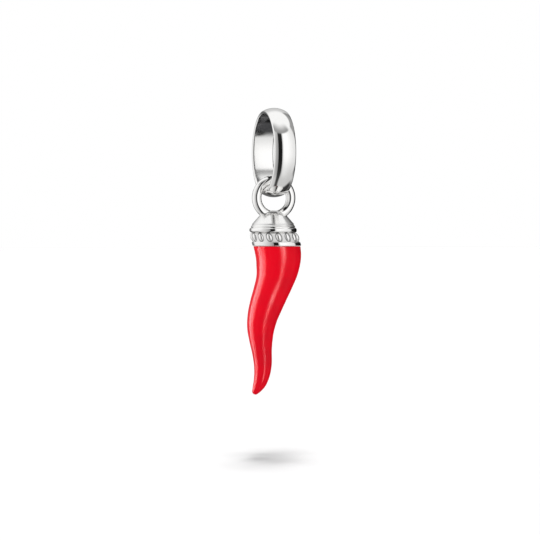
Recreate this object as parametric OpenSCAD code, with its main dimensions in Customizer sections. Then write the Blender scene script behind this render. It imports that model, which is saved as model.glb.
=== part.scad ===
// Horn pendant: a plain ring bail, a beaded cap with a soldered loop, and a red horn.
// Frame: +Z up, X along the bail's bore. The origin is where the chain bears,
// at the top of the bail's hollow.

/* [Bail] */
// Radius of the bail's hollow
bail_hollow_r = 4.03; // [3.95:0.01:4.2]
// Wall of the bail at its crown
bail_wall = 0.67; // [0.62:0.01:0.72]
// Width of the bail's band
bail_w = 2.34; // [2.2:0.02:2.36]
// Radius of the round edges of the band
bail_edge_r = 0.2; // [0.18:0.01:0.24]

/* [Loop] */
// Radius of the loop's hole
loop_hole_r = 1.36; // [1.34:0.01:1.4]
// Radius of the loop's round wire
loop_wire_r = 0.5; // [0.45:0.01:0.55]
// How far below the middle of the bail's edges the middle of the loop hangs
loop_drop = 0.51; // [0.45:0.01:0.52]

/* [Dome] */
// Radius of the dome at its base
dome_base_r = 2.24; // [2.1:0.01:2.35]
// Height of the dome
dome_h = 1.63; // [1.5:0.01:1.8]
// How far the top of the dome covers the wire in the loop's hole
dome_cover = 0.05; // [0.04:0.01:0.15]
// Sideways place of the dome's middle
dome_x = -0.07; // [-0.1:0.01:0.1]

/* [Collar] */
// Height of the rounded moulding under the dome
moulding_h = 0.72; // [0.6:0.01:0.8]
// Radius of the moulding
moulding_r = 2.5; // [2.45:0.01:2.6]
// Height of the channel that the beads stand in
channel_h = 0.95; // [0.9:0.01:1.1]
// Radius of the channel's floor
channel_r = 2.43; // [2.35:0.01:2.45]
// Height of the polished rim under the beads
rim_h = 0.41; // [0.35:0.01:0.5]
// Radius of the rim
rim_r = 2.58; // [2.5:0.01:2.65]
// How far the collar leans sideways from its moulding to its bottom
collar_lean = 0.45; // [0:0.01:0.5]

/* [Beads] */
// Number of beads round the collar
bead_count = 15; // [12:1:18]
// Half the width of a bead
bead_r = 0.27; // [0.24:0.01:0.3]
// Height of a bead
bead_h = 0.82; // [0.7:0.01:0.88]
// How far a bead stands out of the channel
bead_rise = 0.13; // [0.1:0.01:0.16]

/* [Horn] */
// Length of the horn along the drop, to the middle of its tip
horn_l = 15.31; // [13:0.01:17]
// Radius of the horn's flat top
horn_r = 2.48; // [2.4:0.01:2.55]
// Gap between the horn and the cap that it is glued to
glue_gap = 0.05; // [0.03:0.01:0.08]

/* [Post] */
// Radius of the post that holds the horn
post_r = 0.6; // [0.5:0.05:0.7]
// Length of the post below the cap
post_l = 3; // [2:0.1:3.2]

/* [Hidden] */
$fn = 96;
horn_sides = 48;
horn_steps = 4;
tip_steps = 6;
// How deep joined solids run into each other
sink = 0.2;
// Edge roundings of the moulding and the rim
moulding_edge = 0.3;
rim_edge = 0.12;
// How far the cutter of the band's crown reaches past its arc
crown_reach = 1.3;

// Bail: its middle, the ring through its edges, and the arc of its crown
bail_z = -bail_hollow_r;
bail_crown_r = bail_hollow_r + bail_wall;
edge_ring_r = bail_hollow_r + bail_edge_r;
edge_x = bail_w / 2 - bail_edge_r;
edge_drop = bail_crown_r - edge_ring_r;
crown_arc_r = (edge_x ^ 2 + edge_drop ^ 2 - bail_edge_r ^ 2) / (2 * (edge_drop - bail_edge_r));

// Loop: a ring of round wire round the lowest stretch of the bail
loop_z = bail_z - edge_ring_r - loop_drop;
loop_ring_r = loop_hole_r + loop_wire_r;

// Cap: heights of its steps, from the dome down
dome_top = loop_z - loop_hole_r + dome_cover;
dome_base = dome_top - dome_h;
dome_arc_r = (dome_h ^ 2 + dome_base_r ^ 2) / (2 * dome_h);
moulding_bottom = dome_base - moulding_h;
channel_bottom = moulding_bottom - channel_h;
cap_bottom = channel_bottom - rim_h;
lean_top = dome_base - moulding_h / 2;
lean_h = lean_top - cap_bottom;
lean_angle = atan(collar_lean / lean_h);

// Horn: its flat top, and its form as shares of its length and of its top radius
horn_top = cap_bottom - glue_gap;
DEPTH = 0;
PLACE = 1;
GIRTH = 2;
// Share of a row over which a slope is measured, and the rows that level out under the flat top
slope_step = 0.05;
level_rows = 3;
horn_rows = [
    // depth, sideways place, radius
    [0.00, 0.144, 1.000],
    [0.08, 0.210, 0.959],
    [0.16, 0.163, 0.897],
    [0.24, 0.037, 0.802],
    [0.32, -0.142, 0.743],
    [0.40, -0.329, 0.699],
    [0.48, -0.486, 0.645],
    [0.56, -0.566, 0.584],
    [0.64, -0.561, 0.500],
    [0.72, -0.521, 0.423],
    [0.80, -0.480, 0.383],
    [0.87, -0.506, 0.341],
    [0.93, -0.595, 0.287],
    [0.97, -0.715, 0.218],
    [1.00, -0.828, 0.136],
];
horn_last = len(horn_rows) - 1;

// Sideways place of the collar's middle at a height
function collar_x(z) = dome_x + collar_lean * (lean_top - z) / lean_h;

// A column of the horn's table at any place between its rows, on a smooth curve
function row(i, column) = horn_rows[max(0, min(horn_last, i))][column];
function curve(a, b, c, d, t) =
    b + 0.5 * t * (c - a + t * (2 * a - 5 * b + 4 * c - d + t * (3 * (b - c) + d - a)));
function horn_value(s, column) =
    let (i = min(floor(s), horn_last - 1))
    curve(row(i - 1, column), row(i, column), row(i + 1, column), row(i + 2, column), s - i);
function horn_point(s) = [horn_r * horn_value(s, PLACE), -horn_l * horn_value(s, DEPTH)];
function before(s) = max(s - slope_step, 0);
function after(s) = min(s + slope_step, horn_last);
function horn_step(s) = horn_point(after(s)) - horn_point(before(s));
function horn_slope(s) = let (step = horn_step(s)) atan(-step.x / step.y);
function horn_taper(s) =
    let (thinner = horn_value(before(s), GIRTH) - horn_value(after(s), GIRTH))
    atan(horn_r * thinner / norm(horn_step(s)));

// Share of the slope that a section follows: none at the flat top, all of it further down
function turn(s) = let (t = min(1, s / level_rows)) t * t * (3 - 2 * t);

// One ring of points: its middle in the XZ plane, its radius and its tilt
function ring(middle, radius, tilt) = [
    for (i = [0:horn_sides - 1])
        let (a = 360 * i / horn_sides, u = radius * cos(a))
        [middle.x + u * cos(tilt), radius * sin(a), middle.y + u * sin(tilt)]
];

// The cross-section of the bail's band: radius along X, width along Y
module band_section() {
    arc_x = bail_crown_r - crown_arc_r;
    reach = crown_reach * crown_arc_r / norm([edge_ring_r - arc_x, edge_x]);
    corner = [arc_x + reach * (edge_ring_r - arc_x), reach * edge_x];
    for (side = [-1, 1]) {
        translate([edge_ring_r, side * edge_x]) circle(r = bail_edge_r);
    }
    intersection() {
        translate([arc_x, 0]) circle(r = crown_arc_r, $fn = 256);
        polygon([
            [bail_hollow_r, -edge_x],
            [edge_ring_r, -edge_x],
            [corner.x, -corner.y],
            [corner.x, corner.y],
            [edge_ring_r, edge_x],
            [bail_hollow_r, edge_x]
        ]);
    }
}

// A disc with a round edge, from z = 0 up
module round_disc(radius, height, edge) {
    rotate_extrude() {
        square([radius - edge, height]);
        translate([0, edge]) square([radius, height - 2 * edge]);
        for (z = [edge, height - edge]) {
            translate([radius - edge, z]) circle(r = edge, $fn = 32);
        }
    }
}

// The loop's wire ring, its plane along the bail's bore
module loop() {
    translate([0, 0, loop_z]) rotate([90, 0, 0]) rotate_extrude() {
        translate([loop_ring_r, 0]) circle(r = loop_wire_r, $fn = 48);
    }
}

// The dome, cut flat at its base
module dome() {
    translate([dome_x, 0, dome_base]) rotate_extrude() intersection() {
        translate([0, dome_h - dome_arc_r]) circle(r = dome_arc_r, $fn = 128);
        translate([0, -sink]) square([dome_base_r, dome_h + 2 * sink]);
    }
}

// One bead: an upright oval with round ends
module bead() {
    rotate_extrude() intersection() {
        translate([0, -bead_h]) square([2 * bead_r, 2 * bead_h]);
        union() {
            square([2 * bead_r, bead_h - 2 * bead_r], center = true);
            for (z = [-1, 1]) {
                translate([0, z * (bead_h / 2 - bead_r)]) circle(r = bead_r, $fn = 32);
            }
        }
    }
}

// The row of beads in the channel, leaning with the collar
module bead_row() {
    z = (moulding_bottom + channel_bottom) / 2;
    row_r = channel_r + bead_rise - bead_r;
    for (i = [0:bead_count - 1]) {
        a = 360 * i / bead_count;
        translate([collar_x(z) + row_r * cos(a), row_r * sin(a), z]) {
            rotate([0, -lean_angle, 0]) bead();
        }
    }
}

// The collar under the dome: moulding, bead channel and rim, each a step further along the lean
module collar() {
    channel_x = collar_x(moulding_bottom - channel_h / 2);
    rim_x = collar_x(cap_bottom + rim_h / 2);
    translate([dome_x, 0, moulding_bottom]) round_disc(moulding_r, moulding_h, moulding_edge);
    translate([channel_x, 0, channel_bottom - sink]) {
        cylinder(r = channel_r, h = channel_h + 2 * sink);
    }
    translate([rim_x, 0, cap_bottom]) round_disc(rim_r, rim_h, rim_edge);
    bead_row();
}

// The plain post under the cap, hidden in the horn
module post() {
    translate([horn_point(0).x, 0, cap_bottom - post_l]) cylinder(r = post_r, h = post_l + sink);
}

module bail() {
    color("silver") translate([0, 0, bail_z]) rotate([0, 90, 0]) {
        rotate_extrude($fn = 180) band_section();
    }
}

module cap() {
    color("gainsboro") union() {
        loop();
        dome();
        collar();
        post();
    }
}

module horn() {
    spine = [
        for (k = [0:horn_last * horn_steps])
            let (s = k / horn_steps)
            ring(horn_point(s), horn_r * horn_value(s, GIRTH), turn(s) * horn_slope(s))
    ];
    end = horn_point(horn_last);
    end_r = horn_r * horn_value(horn_last, GIRTH);
    tilt = horn_slope(horn_last);
    ahead = [sin(tilt), -cos(tilt)];
    taper = horn_taper(horn_last);
    tip_r = end_r / cos(taper);
    tip = [
        for (k = [1:tip_steps - 1])
            let (a = taper + (90 - taper) * k / tip_steps)
            ring(end + tip_r * (sin(a) - sin(taper)) * ahead, tip_r * cos(a), tilt)
    ];
    rings = concat(spine, tip);
    n = horn_sides;
    last = (len(rings) - 1) * n;
    point = end + tip_r * (1 - sin(taper)) * ahead;
    points = concat([for (r = rings) for (p = r) p], [[point.x, 0, point.y]]);
    top_face = [for (i = [0:n - 1]) n - 1 - i];
    walls = [
        for (k = [0:len(rings) - 2]) for (i = [0:n - 1])
            let (j = (i + 1) % n)
            for (face = [
                [k * n + i, k * n + j, k * n + n + j],
                [k * n + i, k * n + n + j, k * n + n + i]
            ]) face
    ];
    tip_face = [for (i = [0:n - 1]) [last + i, last + (i + 1) % n, len(points) - 1]];
    color("crimson") translate([0, 0, horn_top]) difference() {
        polyhedron(points = points, faces = concat([top_face], walls, tip_face));
        translate([horn_point(0).x, 0, -post_l - glue_gap]) {
            cylinder(r = post_r + glue_gap, h = post_l + glue_gap + sink);
        }
    }
}

bail();
cap();
horn();
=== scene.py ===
import math

import bmesh
import bpy
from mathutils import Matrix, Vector


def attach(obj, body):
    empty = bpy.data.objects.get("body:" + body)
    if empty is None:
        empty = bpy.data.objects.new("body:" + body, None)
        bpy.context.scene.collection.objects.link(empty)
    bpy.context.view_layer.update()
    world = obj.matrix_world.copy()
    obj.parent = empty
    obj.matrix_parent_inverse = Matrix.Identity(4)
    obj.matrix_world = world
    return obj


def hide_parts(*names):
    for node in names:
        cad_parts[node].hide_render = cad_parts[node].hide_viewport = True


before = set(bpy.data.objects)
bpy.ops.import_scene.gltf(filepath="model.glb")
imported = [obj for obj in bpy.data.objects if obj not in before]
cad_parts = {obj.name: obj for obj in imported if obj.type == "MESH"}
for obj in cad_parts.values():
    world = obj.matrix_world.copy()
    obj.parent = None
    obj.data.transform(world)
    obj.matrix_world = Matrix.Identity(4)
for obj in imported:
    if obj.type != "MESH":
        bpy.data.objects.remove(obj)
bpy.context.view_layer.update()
mm = 0.001
sharpAngle = math.radians(38)  # edges sharper than this stay crisp

# how the photograph looks at the pendant: from far off, level with the cap, a little from the left
shot = {
    "azimuth": -16.3,  # degrees round from the front
    "distance": 260 * mm,
    "height": -11.42 * mm,  # of the lens, measured from where the chain bears
    "aim": -16.34 * mm,
    "aside": -0.389 * mm,  # the aim passes this far to the left of the bail's middle
    "lens": 165.1,  # camera millimetres, on a sensor 36 wide
}

studio = {
    "floorHeight": -35.85 * mm,
    "floorSize": 4.0,
    "floorWhite": 0.17,
    "floorGrain": 0.002,
    "floorGrainScale": 900.0,
    "background": 1.0,
    "dull": 0.96,  # the tent's light on dull surfaces
    "dullTilt": 0.33,  # and how much more of it comes from the left than from the right
    "floorLight": 5.2,
    "floorLightAngle": 11.0,
    # degrees that each light throws the shadow to the back and to the left, so it spreads wide and soft
    "floorLightTilts": ((-20, 3), (-11, -1.5), (-2, 3), (7, -1.5)),
}


def turned(azimuth, elevation=0.0, distance=1.0):
    # a point seen from the middle at these angles; azimuth 0 is straight in front
    a = math.radians(azimuth)
    e = math.radians(elevation)
    flat = distance * math.cos(e)
    return Vector((flat * math.sin(a), -flat * math.cos(a), distance * math.sin(e)))


toCamera = turned(shot["azimuth"])
toRight = turned(shot["azimuth"] + 90)


# a socket of a node tree; sums and products of it add Math nodes
class Sock:
    def __init__(self, tree, socket=None):
        self.tree = tree
        self.socket = socket

    def node(self, kind, settings=None, inputs=None, output=0):
        made = self.tree.nodes.new(kind)
        for name, value in (settings or {}).items():
            if name == "stops":
                fillRamp(made.color_ramp, value)
            else:
                setattr(made, name, value)
        for key, value in (inputs or {}).items():
            if isinstance(value, Sock):
                self.tree.links.new(value.socket, made.inputs[key])
            else:
                made.inputs[key].default_value = value
        return Sock(self.tree, made.outputs[output] if len(made.outputs) else None)

    def out(self, name):
        return Sock(self.tree, self.socket.node.outputs[name])

    def math(self, operation, *values):
        return self.node("ShaderNodeMath", {"operation": operation}, dict(enumerate(values)))

    def dot(self, vector):
        settings = {"operation": "DOT_PRODUCT"}
        return self.node("ShaderNodeVectorMath", settings, {0: self, 1: vector}, "Value")

    def rise(self, low, high):  # 0 at low, 1 at high, smooth between, whichever is larger
        return self.node(
            "ShaderNodeMapRange", {"interpolation_type": "SMOOTHSTEP"}, {"Value": self, 1: low, 2: high}
        )

    def blend(self, first, second):  # colours, or greys as colours, by this factor
        settings = {"data_type": "RGBA"}
        return self.node("ShaderNodeMix", settings, {0: self, 6: first, 7: second}, 2)

    def __add__(self, other):
        return self.math("ADD", self, other)

    def __radd__(self, other):
        return self.math("ADD", other, self)

    def __sub__(self, other):
        return self.math("SUBTRACT", self, other)

    def __rsub__(self, other):
        return self.math("SUBTRACT", other, self)

    def __mul__(self, other):
        return self.math("MULTIPLY", self, other)

    def __rmul__(self, other):
        return self.math("MULTIPLY", other, self)

    def __truediv__(self, other):
        return self.math("DIVIDE", self, other)


def fillRamp(ramp, stops):
    # stops are (place, grey or colour)
    while len(ramp.elements) > 1:
        ramp.elements.remove(ramp.elements[-1])
    for i, (place, value) in enumerate(stops):
        element = ramp.elements[0] if i == 0 else ramp.elements.new(place)
        element.position = place
        element.color = value if isinstance(value, tuple) else (value, value, value, 1)


def emptyTree(owner):
    owner.use_nodes = True
    owner.node_tree.nodes.clear()
    return Sock(owner.node_tree)


# the camera of the photograph
def makeCamera():
    data = bpy.data.cameras.new("photoCamera")
    data.lens = shot["lens"]
    data.sensor_width = 36
    data.clip_start = 10 * mm
    data.clip_end = 10
    camera = bpy.data.objects.new("photoCamera", data)
    bpy.context.scene.collection.objects.link(camera)
    down = math.atan2(shot["height"] - shot["aim"], shot["distance"])
    camera.location = toRight * shot["aside"] + toCamera * shot["distance"] + Vector((0, 0, shot["height"]))
    camera.rotation_euler = (math.pi / 2 - down, 0, math.radians(shot["azimuth"]))
    bpy.context.scene.camera = camera
    return camera


# the tent round the pendant. azimuths are from the camera to the right, elevations are degrees up, and
# "ahead" is 1 towards the camera and -1 away from it; a pair is where a soft change starts and ends
tent = {
    # azimuth, light of the wall there
    "wall": [
        (-180, 0.95),
        (-160, 0.95),
        (-100, 1.0),
        (-70, 0.95),
        (-35, 0.62),
        (-20, 0.4),
        (-12, 0.36),
        (9, 0.6),
        (20, 1.1),
        (38, 1.12),
        (75, 0.9),
        (105, 0.8),
        (160, 0.9),
        (180, 0.95),
    ],
    "lowWall": 0.72,  # share of the wall's light that is left near the ground
    "lowWallUp": (-55, 0),
    "ground": 0.62,
    "groundUp": (-50, -75),
    "slit": 0.2,  # half the width of the dark opening in front, as the sine of its angle
    "slitSide": -0.02,
    "slitSoft": 0.03,
    "slitLight": 0.012,
    "slitBend": -0.17,  # it bends to the left as it runs under the pendant
    "slitBendAhead": (1.05, 0.0),
    "slitTaper": 0.1,  # and gets narrower, softer and lighter there
    "slitBlur": 0.03,
    "slitGlow": 0.05,
    "slitEndAhead": (-0.45, -0.3),
    "darkGround": 0.04,  # low behind the pendant
    "darkGroundAhead": (-0.22, -0.42),
    "darkGroundUp": (-28, -42),
    "darkGroundSide": (0.75, 0.5),
    "flagLight": 0.02,  # a dark flag at the back on the right, and the dim wall above it
    "aboveFlag": 0.42,
    "flagLeft": (94, 106),
    "flagRight": (166, 158),
    "flagFootUp": (-42, -22),
    "flagTopUp": (20, 34),
    "ceiling": 1.0,
    "ceilingUp": (45, 51),
    "ceilingEdge": 0.34,  # its light low in front, where it starts
    "ceilingEdgeUp": (80, 50),
    "ceilingEdgeAhead": (0.0, 0.3),
    "outline": 0.16,  # the dark ring round the white panel behind the pendant, in degrees from its middle
    "outlineInner": (7, 13),
    "outlineOuter": (60, 34),
    "outlineTop": 0.6,  # how much of it is gone higher up
    "outlineTopUp": (8, 25),
}


def makeWorld():
    world = bpy.data.worlds.new("whiteTent")
    bpy.context.scene.world = world
    base = emptyTree(world)
    ray = base.node("ShaderNodeTexCoord", output="Generated")
    front = ray.dot(toCamera)
    side = ray.dot(toRight)
    up = ray.dot((0, 0, 1))
    degrees = 180 / math.pi
    azimuth = side.math("ARCTAN2", side, front) * degrees
    elevation = up.math("ARCSINE", up) * degrees
    behind = front.math("ARCCOSINE", front * -1) * degrees
    stops = [((place + 180) / 360, light) for place, light in tent["wall"]]
    light = base.node("ShaderNodeValToRGB", {"stops": stops}, {0: (azimuth + 180) / 360})
    light = light * (tent["lowWall"] + (1 - tent["lowWall"]) * elevation.rise(*tent["lowWallUp"]))
    under = elevation.rise(*tent["groundUp"])
    light = light * (1 - under) + under * tent["ground"]
    # the opening that the camera looks through
    bend = front.rise(*tent["slitBendAhead"])
    width = tent["slit"] - tent["slitTaper"] * bend
    soft = tent["slitSoft"] + tent["slitBlur"] * bend
    across = side - tent["slitSide"] - tent["slitBend"] * bend
    dark = across.math("ABSOLUTE", across).rise(width + soft, width - soft)
    dark = dark * front.rise(*tent["slitEndAhead"])
    light = light * (1 - dark) + dark * (tent["slitLight"] + tent["slitGlow"] * bend)
    low = front.rise(*tent["darkGroundAhead"]) * elevation.rise(*tent["darkGroundUp"])
    low = low * side.math("ABSOLUTE", side).rise(*tent["darkGroundSide"])
    light = light * (1 - low) + low * tent["darkGround"]
    flag = azimuth.rise(*tent["flagLeft"]) * azimuth.rise(*tent["flagRight"])
    flag = flag * elevation.rise(*tent["flagFootUp"])
    above = elevation.rise(*tent["flagTopUp"])
    kept = tent["flagLight"] * (1 - above) + tent["aboveFlag"] * above
    light = light * (1 - flag * (1 - kept))
    over = elevation.rise(*tent["ceilingUp"])
    dim = elevation.rise(*tent["ceilingEdgeUp"]) * front.rise(*tent["ceilingEdgeAhead"])
    light = light * (1 - over) + over * (tent["ceiling"] - (tent["ceiling"] - tent["ceilingEdge"]) * dim)
    ring = behind.rise(*tent["outlineInner"]) * behind.rise(*tent["outlineOuter"])
    ring = ring * (1 - tent["outlineTop"] * elevation.rise(*tent["outlineTopUp"]))
    light = light * (1 - ring * (1 - tent["outline"]))
    rays = base.node("ShaderNodeLightPath")
    dull = rays.out("Is Diffuse Ray")
    seen = rays.out("Is Camera Ray")
    light = light * (1 - dull) + dull * (studio["dull"] - studio["dullTilt"] * side)
    light = light * (1 - seen) + seen * studio["background"]
    shader = base.node("ShaderNodeBackground", None, {"Color": (1, 1, 1, 1), "Strength": light})
    base.node("ShaderNodeOutputWorld", None, {"Surface": shader})


def makeFloor():
    half = studio["floorSize"] / 2
    z = studio["floorHeight"]
    mesh = bpy.data.meshes.new("floor")
    corners = [(-half, -half, z), (half, -half, z), (half, half, z), (-half, half, z)]
    mesh.from_pydata(corners, [], [(0, 1, 2, 3)])
    floor = bpy.data.objects.new("floor", mesh)
    bpy.context.scene.collection.objects.link(floor)
    material = bpy.data.materials.new("whitePaper")
    base = emptyTree(material)
    where = base.node("ShaderNodeTexCoord", output="Object")
    noise = {"Vector": where, "Scale": studio["floorGrainScale"], "Detail": 2.0}
    grain = base.node("ShaderNodeTexNoise", None, noise)
    darker = studio["floorWhite"] - studio["floorGrain"]
    lighter = studio["floorWhite"] + studio["floorGrain"]
    shade = grain.blend((darker, darker, darker, 1), (lighter, lighter, lighter, 1))
    paper = base.node("ShaderNodeBsdfDiffuse", None, {"Color": shade})
    base.node("ShaderNodeOutputMaterial", None, {"Surface": paper})
    mesh.materials.append(material)
    floor.visible_glossy = False  # the polished metal sees the tent, not the table
    return floor


def lightOnly(light, pieces):
    # the light falls on these pieces alone
    group = bpy.data.collections.new(light.name + "Lit")
    for piece in pieces:
        group.objects.link(piece)
    light.light_linking.receiver_collection = group
    bpy.context.scene.collection.objects.link(light)


def makeFloorLights(floor):
    tilts = studio["floorLightTilts"]
    for back, left in tilts:
        data = bpy.data.lights.new("floorLight", "SUN")
        data.energy = studio["floorLight"] * math.pi / len(tilts)
        data.angle = math.radians(studio["floorLightAngle"])
        light = bpy.data.objects.new("floorLight", data)
        light.rotation_euler = (math.radians(back), math.radians(left), math.radians(shot["azimuth"]))
        light.visible_glossy = False
        lightOnly(light, [floor])


# two tall soft strips that draw the long highlights on the horn, and light nothing else
strips = {
    "left": {"azimuth": -92, "width": 44, "height": 90, "light": 20.0},
    "right": {"azimuth": 27, "width": 21, "height": 50, "light": 68.0},
    "distance": 150 * mm,
    "height": -20 * mm,
}


def makeStrips(horn):
    for name in ("left", "right"):
        strip = strips[name]
        data = bpy.data.lights.new(name + "Strip", "AREA")
        data.shape = "RECTANGLE"
        away = strips["distance"]
        data.size = 2 * away * math.tan(math.radians(strip["width"] / 2))
        data.size_y = 2 * away * math.tan(math.radians(strip["height"] / 2))
        data.energy = strip["light"] * math.pi * data.size * data.size_y
        light = bpy.data.objects.new(name + "Strip", data)
        place = turned(shot["azimuth"] + strip["azimuth"])
        light.location = place * away + Vector((0, 0, strips["height"]))
        light.rotation_euler = place.to_track_quat("Z", "Y").to_euler()
        light.visible_diffuse = False
        light.visible_camera = False
        lightOnly(light, [horn])


# polished silver: bright, with the faint hairlines and soft waves that polishing leaves
silver = {
    "color": (0.93, 0.925, 0.915, 1),
    "roughness": 0.05,
    "roughnessSpread": 0.05,
    "cloudScale": 420.0,
    "cloudRange": (0.45, 0.75),
    "bump": 0.06,
    "bumpDepth": 0.05 * mm,
    "waves": 0.02,
    "hairlines": 0.012,
    "hairlineScale": 1500.0,
    "hairlineTurn": (0.5, 0.3, 0.2),
    "hairlineStretch": (1, 1, 24),
    "matt": 0.45,  # how much rougher a matt place is
    "mattMetal": 0.75,  # and how much less metallic
    "satin": 0.24,  # how much rougher a satin place is
    # the dark colour that painted shade blends the silver towards
    "paintedShade": (0.05, 0.05, 0.055, 1),
}


def polishedSilver(name, wearAndShade=None):
    # the wear and shade function, where given, takes the tree and the place, and returns how matt, how
    # darkened by painted shade and how satin it is there
    material = bpy.data.materials.new(name)
    base = emptyTree(material)
    where = base.node("ShaderNodeTexCoord", output="Object")
    noise = {"Vector": where, "Scale": silver["cloudScale"], "Detail": 3.0}
    cloud = base.node("ShaderNodeTexNoise", None, noise)
    turn = {"Vector": where, "Rotation": silver["hairlineTurn"], "Scale": silver["hairlineStretch"]}
    stretch = base.node("ShaderNodeMapping", None, turn)
    noise = {"Vector": stretch, "Scale": silver["hairlineScale"], "Detail": 4.0}
    lines = base.node("ShaderNodeTexNoise", None, noise)
    rough = silver["roughness"] + silver["roughnessSpread"] * cloud.rise(*silver["cloudRange"])
    color = silver["color"]
    metal = 1.0
    if wearAndShade:
        matt, paintedShade, satin = wearAndShade(base, where)
        color = paintedShade.blend(silver["color"], silver["paintedShade"])
        rough = rough + matt * silver["matt"] + satin * silver["satin"]
        metal = 1 - matt * silver["mattMetal"]
    height = cloud * silver["waves"] + lines * silver["hairlines"]
    relief = {"Strength": silver["bump"], "Distance": silver["bumpDepth"], "Height": height}
    bump = base.node("ShaderNodeBump", None, relief)
    shader = base.node(
        "ShaderNodeBsdfPrincipled",
        None,
        {"Base Color": color, "Metallic": metal, "Roughness": rough, "Normal": bump},
    )
    base.node("ShaderNodeOutputMaterial", None, {"Surface": shader})
    return material


# glossy red enamel, a little deeper in places, with a faintly uneven skin
enamel = {
    "color": (0.80, 0.0, 0.012, 1),
    "deep": (0.66, 0.001, 0.012, 1),
    "roughness": 0.17,
    "roughnessSpread": 0.05,
    "specular": 0.08,
    "cloudScale": 330.0,
    "cloudRange": (0.4, 0.8),
    "skinScale": 2600.0,
    "bump": 0.05,
    "bumpDepth": 0.02 * mm,
}


def redEnamel(name):
    material = bpy.data.materials.new(name)
    base = emptyTree(material)
    where = base.node("ShaderNodeTexCoord", output="Object")
    noise = {"Vector": where, "Scale": enamel["cloudScale"], "Detail": 2.0}
    cloud = base.node("ShaderNodeTexNoise", None, noise)
    noise = {"Vector": where, "Scale": enamel["skinScale"], "Detail": 2.0}
    skin = base.node("ShaderNodeTexNoise", None, noise)
    color = cloud.rise(*enamel["cloudRange"]).blend(enamel["color"], enamel["deep"])
    relief = {"Strength": enamel["bump"], "Distance": enamel["bumpDepth"], "Height": skin}
    bump = base.node("ShaderNodeBump", None, relief)
    shader = base.node(
        "ShaderNodeBsdfPrincipled",
        None,
        {
            "Base Color": color,
            "Roughness": enamel["roughness"] + enamel["roughnessSpread"] * cloud,
            "Specular IOR Level": enamel["specular"],
            "Normal": bump,
        },
    )
    base.node("ShaderNodeOutputMaterial", None, {"Surface": shader})
    return material


def leaned(base, given, geometry):
    # what is below Lean From steps to the right as it goes down
    where = base.node("GeometryNodeInputPosition")
    height = base.node("ShaderNodeSeparateXYZ", None, {0: where}, "Z")
    drop = height.math("MAXIMUM", given.out("Lean From") - height, 0.0)
    offset = base.node("ShaderNodeCombineXYZ", None, {"X": drop * given.out("Lean")})
    return base.node("GeometryNodeSetPosition", None, {"Geometry": geometry, "Offset": offset})


# geometry nodes: a section of edges is swept round a ring, then turned, moved and leaned
def ringTree():
    tree = bpy.data.node_groups.new("sweptRing", "GeometryNodeTree")
    for name, kind in (
        ("Section", "NodeSocketGeometry"),
        ("Ring Radius", "NodeSocketFloat"),
        ("Steps", "NodeSocketInt"),
        ("Turn", "NodeSocketVector"),
        ("Centre", "NodeSocketVector"),
        ("Lean", "NodeSocketFloat"),
        ("Lean From", "NodeSocketFloat"),
        ("Finish", "NodeSocketMaterial"),
    ):
        tree.interface.new_socket(name, in_out="INPUT", socket_type=kind)
    tree.interface.new_socket("Ring", in_out="OUTPUT", socket_type="NodeSocketGeometry")
    base = Sock(tree)
    given = base.node("NodeGroupInput")
    circle = base.node(
        "GeometryNodeCurvePrimitiveCircle",
        None,
        {"Resolution": given.out("Steps"), "Radius": given.out("Ring Radius")},
    )
    section = base.node("GeometryNodeMeshToCurve", None, {0: given.out("Section")})
    ring = base.node("GeometryNodeCurveToMesh", None, {"Curve": circle, "Profile Curve": section})
    closed = base.node("GeometryNodeMergeByDistance", None, {0: ring, "Distance": 0.0005 * mm})
    placed = base.node(
        "GeometryNodeTransform",
        None,
        {"Geometry": closed, "Rotation": given.out("Turn"), "Translation": given.out("Centre")},
    )
    smooth = base.node("GeometryNodeSetShadeSmooth", None, {0: leaned(base, given, placed)})
    real = base.node("GeometryNodeRealizeInstances", None, {0: smooth})
    done = base.node("GeometryNodeSetMaterial", None, {0: real, "Material": given.out("Finish")})
    base.node("NodeGroupOutput", None, {0: done})
    return tree


def addPiece(name, mesh):
    piece = bpy.data.objects.new(name, mesh)
    bpy.context.scene.collection.objects.link(piece)
    return piece


def grown(name, start, tree, inputs):
    # runs a node tree on a start mesh and keeps the result as a plain mesh
    seed = addPiece(name + "Start", start)
    modifier = seed.modifiers.new("growth", "NODES")
    modifier.node_group = tree
    for item in tree.interface.items_tree:
        if item.in_out == "INPUT" and item.name in inputs:
            modifier[item.identifier] = inputs[item.name]
    view = bpy.context.evaluated_depsgraph_get()
    mesh = bpy.data.meshes.new_from_object(seed.evaluated_get(view), depsgraph=view)
    mesh.name = name
    seed.modifiers.remove(modifier)
    bpy.data.objects.remove(seed)
    bpy.data.meshes.remove(start)
    mesh.set_sharp_from_angle(angle=sharpAngle)
    return addPiece(name, mesh)


def arc(x, y, radius, start, end, count):
    # points of an arc, angles in degrees from the x axis
    angles = [math.radians(start + (end - start) * i / count) for i in range(count + 1)]
    return [(x + radius * math.cos(a), y + radius * math.sin(a)) for a in angles]


def sectionMesh(name, points, ringRadius, closed=True):
    # points are (distance from the ring's axis, height along it), in metres
    flat = [(r - ringRadius, -h) for r, h in points]
    turn = sum(a[0] * b[1] - b[0] * a[1] for a, b in zip(flat, flat[1:] + flat[:1]))
    if turn < 0:
        flat.reverse()
    mesh = bpy.data.meshes.new(name)
    last = len(flat) if closed else len(flat) - 1
    edges = [(i, (i + 1) % len(flat)) for i in range(last)]
    mesh.from_pydata([(x, y, 0) for x, y in flat], edges, [])
    return mesh


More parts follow.
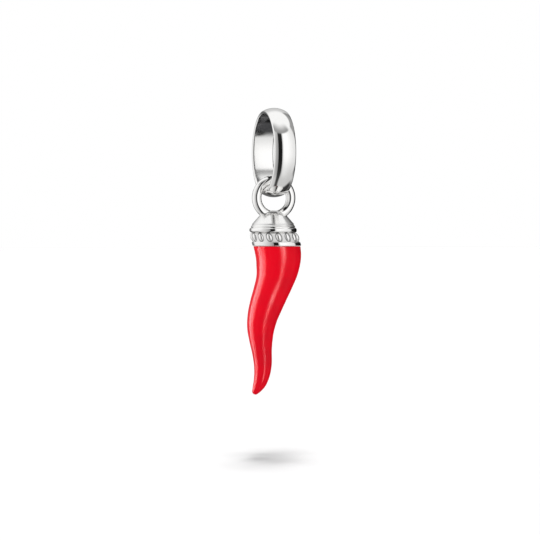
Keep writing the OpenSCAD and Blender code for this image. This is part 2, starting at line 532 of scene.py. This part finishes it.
# the plain ring that the chain runs through: flat inside, crowned outside, with soft edges
bail = {
    "hollowRadius": 4.03 * mm,
    "wall": 0.664 * mm,
    "width": 2.34 * mm,
    "edgeRadius": 0.2 * mm,
    "steps": 420,
    "crownSteps": 40,
    "edgeSteps": 14,
    "flatRows": (0.98, 0.9, 0.3, -0.3, -0.9, -0.98),  # shares of half the flat inside
    "shadeUp": (1.6 * mm, 2.4 * mm),  # above the ring's middle
    "wearAndShadeDepth": (0.05 * mm, 0.02 * mm),  # the painted shade and the satin fade out this deep in the metal
    "shadeNoiseScale": 2600.0,
    "shadeSpread": 0.1,
    "satin": 0.4,  # share of the silver's satin that the inside has
}


def bailSection():
    crown = bail["hollowRadius"] + bail["wall"]
    edge = bail["edgeRadius"]
    edgeRing = bail["hollowRadius"] + edge
    edgeSide = bail["width"] / 2 - edge
    drop = crown - edgeRing
    arcRadius = (edgeSide**2 + drop**2 - edge**2) / (2 * (drop - edge))
    middle = crown - arcRadius
    meet = math.degrees(math.atan2(edgeSide, edgeRing - middle))
    steps = bail["edgeSteps"]
    points = arc(edgeRing, -edgeSide, edge, -180, -meet, steps)
    points += arc(middle, 0, arcRadius, -meet, meet, bail["crownSteps"])[1:-1]
    points += arc(edgeRing, edgeSide, edge, meet, 180, steps)
    # close rows of points keep the flat inside flat right up to its edges
    points += [(bail["hollowRadius"], edgeSide * share) for share in bail["flatRows"]]
    return points


def bailSatinAndShade(base, where):
    # painted shade: darker on the inside at the top, in place of the dark reflection there
    parts = base.node("ShaderNodeSeparateXYZ", None, {0: where}, "Z")
    y = parts.out("Y")
    z = parts + bail["hollowRadius"]
    radius = z.math("SQRT", y * y + z * z)
    inside = (radius - bail["hollowRadius"]).rise(*bail["wearAndShadeDepth"])
    noise = {"Vector": where, "Scale": bail["shadeNoiseScale"], "Detail": 2.0}
    fine = base.node("ShaderNodeTexNoise", None, noise)
    # painted shade, strongest inside the top of the ring
    paintedShade = inside * z.rise(*bail["shadeUp"]) * (1 - bail["shadeSpread"] + bail["shadeSpread"] * fine)
    return 0.0, paintedShade, inside * bail["satin"]


def makeBail(tree, finish):
    ringRadius = bail["hollowRadius"]
    section = sectionMesh("bailSection", bailSection(), ringRadius)
    band = grown(
        "bailBand",
        section,
        tree,
        {
            "Ring Radius": ringRadius,
            "Steps": bail["steps"],
            "Turn": (0, math.pi / 2, 0),
            "Centre": (0, 0, -bail["hollowRadius"]),
            "Finish": finish,
        },
    )
    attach(band, "hanger")
    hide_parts("bail")
    return band


# the round wire loop on top of the cap
loop = {
    "holeRadius": 1.36 * mm,
    "wireRadius": 0.5 * mm,
    "height": -8.77 * mm,
    "steps": 144,
    "wireSteps": 40,
}


def makeLoop(tree, finish):
    ringRadius = loop["holeRadius"] + loop["wireRadius"]
    wire = arc(ringRadius, 0, loop["wireRadius"], 0, 360, loop["wireSteps"])[:-1]
    ring = grown(
        "loopWire",
        sectionMesh("wireSection", wire, ringRadius),
        tree,
        {
            "Ring Radius": ringRadius,
            "Steps": loop["steps"],
            "Turn": (math.pi / 2, 0, 0),
            "Centre": (0, 0, loop["height"]),
            "Finish": finish,
        },
    )
    return ring


# the cap: a low dome on a collar, whose steps lean to the right as they go down
cap = {
    "middle": -0.07 * mm,  # the dome's axis, sideways of the bail's middle
    "domeTop": -10.08 * mm,
    "flankRadius": 1.47 * mm,  # where the round top meets the straight flank
    "flankHeight": -10.67 * mm,
    "footRadius": 2.2 * mm,
    "footHeight": -11.5 * mm,
    "groove": 0.03 * mm,  # fine grooves above and below the sloping step that follows
    "stepTop": -11.59 * mm,
    "stepRadius": 2.34 * mm,
    "mouldingTop": -11.86 * mm,
    "mouldingRadius": 2.5 * mm,
    "mouldingBottom": -12.44 * mm,
    "channelRadius": 2.43 * mm,
    "channelBottom": -13.38 * mm,
    "rimRadius": 2.56 * mm,
    "rimBottom": -13.79 * mm,
    "rimTopEdge": 0.1 * mm,
    "rimEdge": 0.05 * mm,
    "lean": 0.27,  # sideways for each step down
    "leanFrom": -12.22 * mm,
    "steps": 240,
    "domeSteps": 18,
    "mouldingArc": (72, -82),  # degrees from level, down its outside
    "mouldingSteps": 26,
    "cove": 0.03 * mm,  # how deep the channel's floor is hollowed
    "coveSteps": 16,
    "rimTopSteps": 10,
    "rimSteps": 8,
    "sweepRadius": 2 * mm,
    "shadeNoiseScale": 5200.0,
    "wearAndShade": (0.07, 0.14),  # the channel's painted shade, and how much more of it there is in spots
    "channelFade": 0.06 * mm,
    "wearAndShadeDepth": (0.03 * mm, 0.01 * mm),  # it fades out this far in front of the channel's floor
    "satinFade": 0.04 * mm,
    "domeSatin": 0.6,  # share of the step's satin that the dome has
    "domeFade": 0.15 * mm,
}


def capSection():
    c = cap
    # the dome: a round top and a straight flank
    topHeight = c["domeTop"] - c["flankHeight"]
    topArc = (c["flankRadius"] ** 2 + topHeight**2) / (2 * topHeight)
    spread = math.degrees(math.asin(c["flankRadius"] / topArc))
    points = arc(0, c["domeTop"] - topArc, topArc, 90, 90 - spread, c["domeSteps"])
    points.append((c["footRadius"], c["footHeight"]))
    # a fine sloping step between two grooves, then the half-round moulding
    groove = c["groove"]
    points.append((c["footRadius"] - groove, c["footHeight"] - 2 * groove))
    points.append((c["footRadius"], c["stepTop"]))
    points.append((c["stepRadius"], c["mouldingTop"] + 2 * groove))
    points.append((c["stepRadius"] - groove, c["mouldingTop"] + groove / 2))
    half = (c["mouldingTop"] - c["mouldingBottom"]) / 2
    middle = (c["mouldingTop"] + c["mouldingBottom"]) / 2
    points += arc(c["mouldingRadius"] - half, middle, half, *c["mouldingArc"], c["mouldingSteps"])
    # the coved channel of the beads, and the polished rim under it
    high = c["mouldingBottom"]
    low = c["channelBottom"]
    for i in range(1, c["coveSteps"]):
        t = i / c["coveSteps"]
        points.append((c["channelRadius"] - c["cove"] * math.sin(math.pi * t), high + (low - high) * t))
    edge = c["rimTopEdge"]
    points += arc(c["rimRadius"] - edge, low - edge, edge, 90, 0, c["rimTopSteps"])
    edge = c["rimEdge"]
    points += arc(c["rimRadius"] - edge, c["rimBottom"] + edge, edge, 0, -90, c["rimSteps"])
    points.append((0, c["rimBottom"]))
    return points


def makeCap(tree, finish):
    ringRadius = cap["sweepRadius"]
    return grown(
        "capBody",
        sectionMesh("capSection", capSection(), ringRadius, closed=False),
        tree,
        {
            "Ring Radius": ringRadius,
            "Steps": cap["steps"],
            "Turn": (0, 0, 0),
            "Centre": (cap["middle"], 0, 0),
            "Lean": cap["lean"],
            "Lean From": cap["leanFrom"],
            "Finish": finish,
        },
    )


# the row of low oval beads that stand in the channel
beads = {
    "count": 15,
    "height": -12.9 * mm,
    "reach": 2.57 * mm,
    "depth": 0.24 * mm,
    "halfWidth": 0.3 * mm,
    "halfHeight": 0.41 * mm,
    "segments": 32,
    "rings": 22,
    "line": (1.35, 1.08),  # the line of painted shade round a bead, in shares of its size from its middle
    "lineShade": 0.7,
}


def beadTree():
    tree = bpy.data.node_groups.new("beadRow", "GeometryNodeTree")
    for name, kind in (
        ("Start", "NodeSocketGeometry"),
        ("Bead Count", "NodeSocketInt"),
        ("Row Radius", "NodeSocketFloat"),
        ("Row Centre", "NodeSocketVector"),
        ("Bead Size", "NodeSocketVector"),
        ("Lean", "NodeSocketFloat"),
        ("Lean From", "NodeSocketFloat"),
        ("Finish", "NodeSocketMaterial"),
    ):
        tree.interface.new_socket(name, in_out="INPUT", socket_type=kind)
    tree.interface.new_socket("Beads", in_out="OUTPUT", socket_type="NodeSocketGeometry")
    base = Sock(tree)
    given = base.node("NodeGroupInput")
    places = base.node(
        "GeometryNodeMeshCircle",
        None,
        {"Vertices": given.out("Bead Count"), "Radius": given.out("Row Radius")},
    )
    spot = base.node("ShaderNodeSeparateXYZ", None, {0: base.node("GeometryNodeInputPosition")}, "X")
    facing = base.node("ShaderNodeCombineXYZ", None, {"Z": spot.math("ARCTAN2", spot.out("Y"), spot)})
    sizes = {"Segments": beads["segments"], "Rings": beads["rings"], "Radius": 1.0}
    ball = base.node("GeometryNodeMeshUVSphere", None, sizes)
    row = base.node(
        "GeometryNodeInstanceOnPoints",
        None,
        {
            "Points": places,
            "Instance": ball,
            "Rotation": base.node("FunctionNodeEulerToRotation", None, {0: facing}),
            "Scale": given.out("Bead Size"),
        },
    )
    real = base.node("GeometryNodeRealizeInstances", None, {0: row})
    moved = base.node(
        "GeometryNodeTransform", None, {"Geometry": real, "Translation": given.out("Row Centre")}
    )
    smooth = base.node("GeometryNodeSetShadeSmooth", None, {0: leaned(base, given, moved)})
    done = base.node("GeometryNodeSetMaterial", None, {0: smooth, "Material": given.out("Finish")})
    base.node("NodeGroupOutput", None, {0: done})
    return tree


def makeBeads(finish):
    return grown(
        "beadRow",
        bpy.data.meshes.new("beadStart"),
        beadTree(),
        {
            "Bead Count": beads["count"],
            "Row Radius": beads["reach"] - beads["depth"],
            "Row Centre": (cap["middle"], 0, beads["height"]),
            "Bead Size": (beads["depth"], beads["halfWidth"], beads["halfHeight"]),
            "Lean": cap["lean"],
            "Lean From": cap["leanFrom"],
            "Finish": finish,
        },
    )


def capWearAndShade(base, where):
    # matt and painted shade in the bead channel's floor, a line of painted shade round each bead, and satin
    # on the dome and its step
    parts = base.node("ShaderNodeSeparateXYZ", None, {0: where}, "X")
    y = parts.out("Y")
    z = parts.out("Z")
    x = parts - cap["middle"] - cap["lean"] * (cap["leanFrom"] - z)
    radius = x.math("SQRT", x * x + y * y)
    inside = (radius - cap["channelRadius"]).rise(*cap["wearAndShadeDepth"])
    channel = inside * z.rise(cap["channelBottom"], cap["channelBottom"] + cap["channelFade"])
    channel = channel * z.rise(cap["mouldingBottom"], cap["mouldingBottom"] - cap["channelFade"])
    turns = y.math("ARCTAN2", y, x) * (beads["count"] / (2 * math.pi))
    across = turns - turns.math("ROUND", turns)
    across = across * (2 * math.pi * cap["channelRadius"] / beads["count"] / beads["halfWidth"])
    along = (z - beads["height"]) / beads["halfHeight"]
    line = along.math("SQRT", across * across + along * along)
    line = line.rise(*beads["line"]) * inside
    noise = {"Vector": where, "Scale": cap["shadeNoiseScale"], "Detail": 2.0}
    fine = base.node("ShaderNodeTexNoise", None, noise)
    plain, spots = cap["wearAndShade"]
    # painted shade: in the channel's floor and in a line round each bead
    paintedShade = channel * (plain + spots * fine) + line * beads["lineShade"]
    satin = z.rise(cap["mouldingTop"], cap["mouldingTop"] + cap["satinFade"])
    dome = z.rise(cap["footHeight"], cap["footHeight"] + cap["domeFade"])
    satin = satin * (1 - (1 - cap["domeSatin"]) * dome)
    return channel, paintedShade, satin


# the horn: its place to the side and its girth at each depth, as shares of its length and top radius
horn = {
    "top": -13.84 * mm,
    "length": 15.309 * mm,
    "radius": 2.479 * mm,
    "topEdge": 0.07 * mm,
    "topEdgeSteps": 6,
    "sides": 96,
    "steps": 12,
    "tipSteps": 14,
    "tiltRows": 3,  # the rings tilt with the curve from this row on, and less above it
    "slopeStep": 0.02,
    "rows": [
        # depth, sideways place, girth
        (0.00, 0.144, 1.000),
        (0.08, 0.210, 0.959),
        (0.16, 0.163, 0.897),
        (0.24, 0.037, 0.802),
        (0.32, -0.142, 0.743),
        (0.40, -0.329, 0.699),
        (0.48, -0.486, 0.645),
        (0.56, -0.566, 0.584),
        (0.64, -0.561, 0.500),
        (0.72, -0.521, 0.423),
        (0.80, -0.480, 0.383),
        (0.87, -0.506, 0.341),
        (0.93, -0.595, 0.287),
        (0.97, -0.715, 0.218),
        (1.00, -0.828, 0.136),
    ],
}


def hornValue(s, column):
    # a smooth curve through the rows' values, s counted in rows
    rows = horn["rows"]
    last = len(rows) - 1
    i = min(int(s), last - 1)
    t = s - i
    a, b, c, d = (rows[max(0, min(last, k))][column] for k in (i - 1, i, i + 1, i + 2))
    return b + 0.5 * t * (c - a + t * (2 * a - 5 * b + 4 * c - d + t * (3 * (b - c) + d - a)))


def hornPoint(s):
    return Vector((horn["radius"] * hornValue(s, 1), 0, horn["top"] - horn["length"] * hornValue(s, 0)))


def hornAhead(s):
    last = len(horn["rows"]) - 1
    step = horn["slopeStep"]
    return (hornPoint(min(s + step, last)) - hornPoint(max(s - step, 0))).normalized()


def hornRings():
    # (middle, radius, tilt) of each ring from the flat top to the tip
    rows = horn["rows"]
    last = len(rows) - 1
    down = Vector((0, 0, -1))
    rings = []
    edge = horn["topEdge"]
    for i in range(horn["topEdgeSteps"]):
        a = math.radians(90 - 90 * i / horn["topEdgeSteps"])
        middle = hornPoint(0) + down * edge * (1 - math.sin(a))
        rings.append((middle, horn["radius"] - edge * (1 - math.cos(a)), 0.0))
    for k in range(last * horn["steps"] + 1):
        s = k / horn["steps"]
        middle = hornPoint(s)
        if middle.z > horn["top"] - edge:
            continue
        ahead = hornAhead(s)
        share = min(1.0, s / horn["tiltRows"])
        tilt = share * share * (3 - 2 * share) * math.atan2(ahead.x, -ahead.z)
        rings.append((middle, horn["radius"] * hornValue(s, 2), tilt))
    # the round tip, tangent to the taper above it
    before = last - 2 * horn["slopeStep"]
    thinner = horn["radius"] * (hornValue(before, 2) - hornValue(last, 2))
    taper = math.atan2(thinner, (hornPoint(last) - hornPoint(before)).length)
    ahead = hornAhead(last)
    tilt = math.atan2(ahead.x, -ahead.z)
    ball = horn["radius"] * hornValue(last, 2) / math.cos(taper)
    for k in range(1, horn["tipSteps"]):
        a = taper + (math.pi / 2 - taper) * k / horn["tipSteps"]
        middle = hornPoint(last) + ahead * ball * (math.sin(a) - math.sin(taper))
        rings.append((middle, ball * math.cos(a), tilt))
    tip = hornPoint(last) + ahead * ball * (1 - math.sin(taper))
    return rings, tip


def makeHorn(finish):
    rings, tip = hornRings()
    n = horn["sides"]
    shape = bmesh.new()
    loops = []
    for middle, radius, tilt in rings:
        ring = []
        for i in range(n):
            a = 2 * math.pi * i / n
            side = radius * math.cos(a)
            spot = (side * math.cos(tilt), radius * math.sin(a), side * math.sin(tilt))
            ring.append(shape.verts.new(middle + Vector(spot)))
        loops.append(ring)
    shape.faces.new(loops[0])
    for upper, lower in zip(loops, loops[1:]):
        for i in range(n):
            j = (i + 1) % n
            shape.faces.new((upper[i], lower[i], lower[j], upper[j]))
    point = shape.verts.new(tip)
    for i in range(n):
        shape.faces.new((loops[-1][i], point, loops[-1][(i + 1) % n]))
    bmesh.ops.recalc_face_normals(shape, faces=shape.faces)
    for face in shape.faces:
        face.smooth = True
    mesh = bpy.data.meshes.new("hornEnamel")
    shape.to_mesh(mesh)
    shape.free()
    mesh.set_sharp_from_angle(angle=sharpAngle)
    mesh.materials.append(finish)
    piece = addPiece("hornEnamel", mesh)
    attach(piece, "drop")
    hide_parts("horn")
    return piece


makeCamera()
makeWorld()
makeFloorLights(makeFloor())
print("studio ready")

brightSilver = polishedSilver("brightSilver")
bailSilver = polishedSilver("bailSilver", bailSatinAndShade)
capSilver = polishedSilver("capSilver", capWearAndShade)
hornRed = redEnamel("hornRed")
rings = ringTree()
makeBail(rings, bailSilver)
print("bail made")

for piece in (makeLoop(rings, brightSilver), makeCap(rings, capSilver), makeBeads(brightSilver)):
    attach(piece, "drop")
    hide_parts("cap")
print("cap made, with its loop and beads")

makeStrips(makeHorn(hornRed))
print("horn made")

bpy.context.scene.view_settings.view_transform = "Standard"
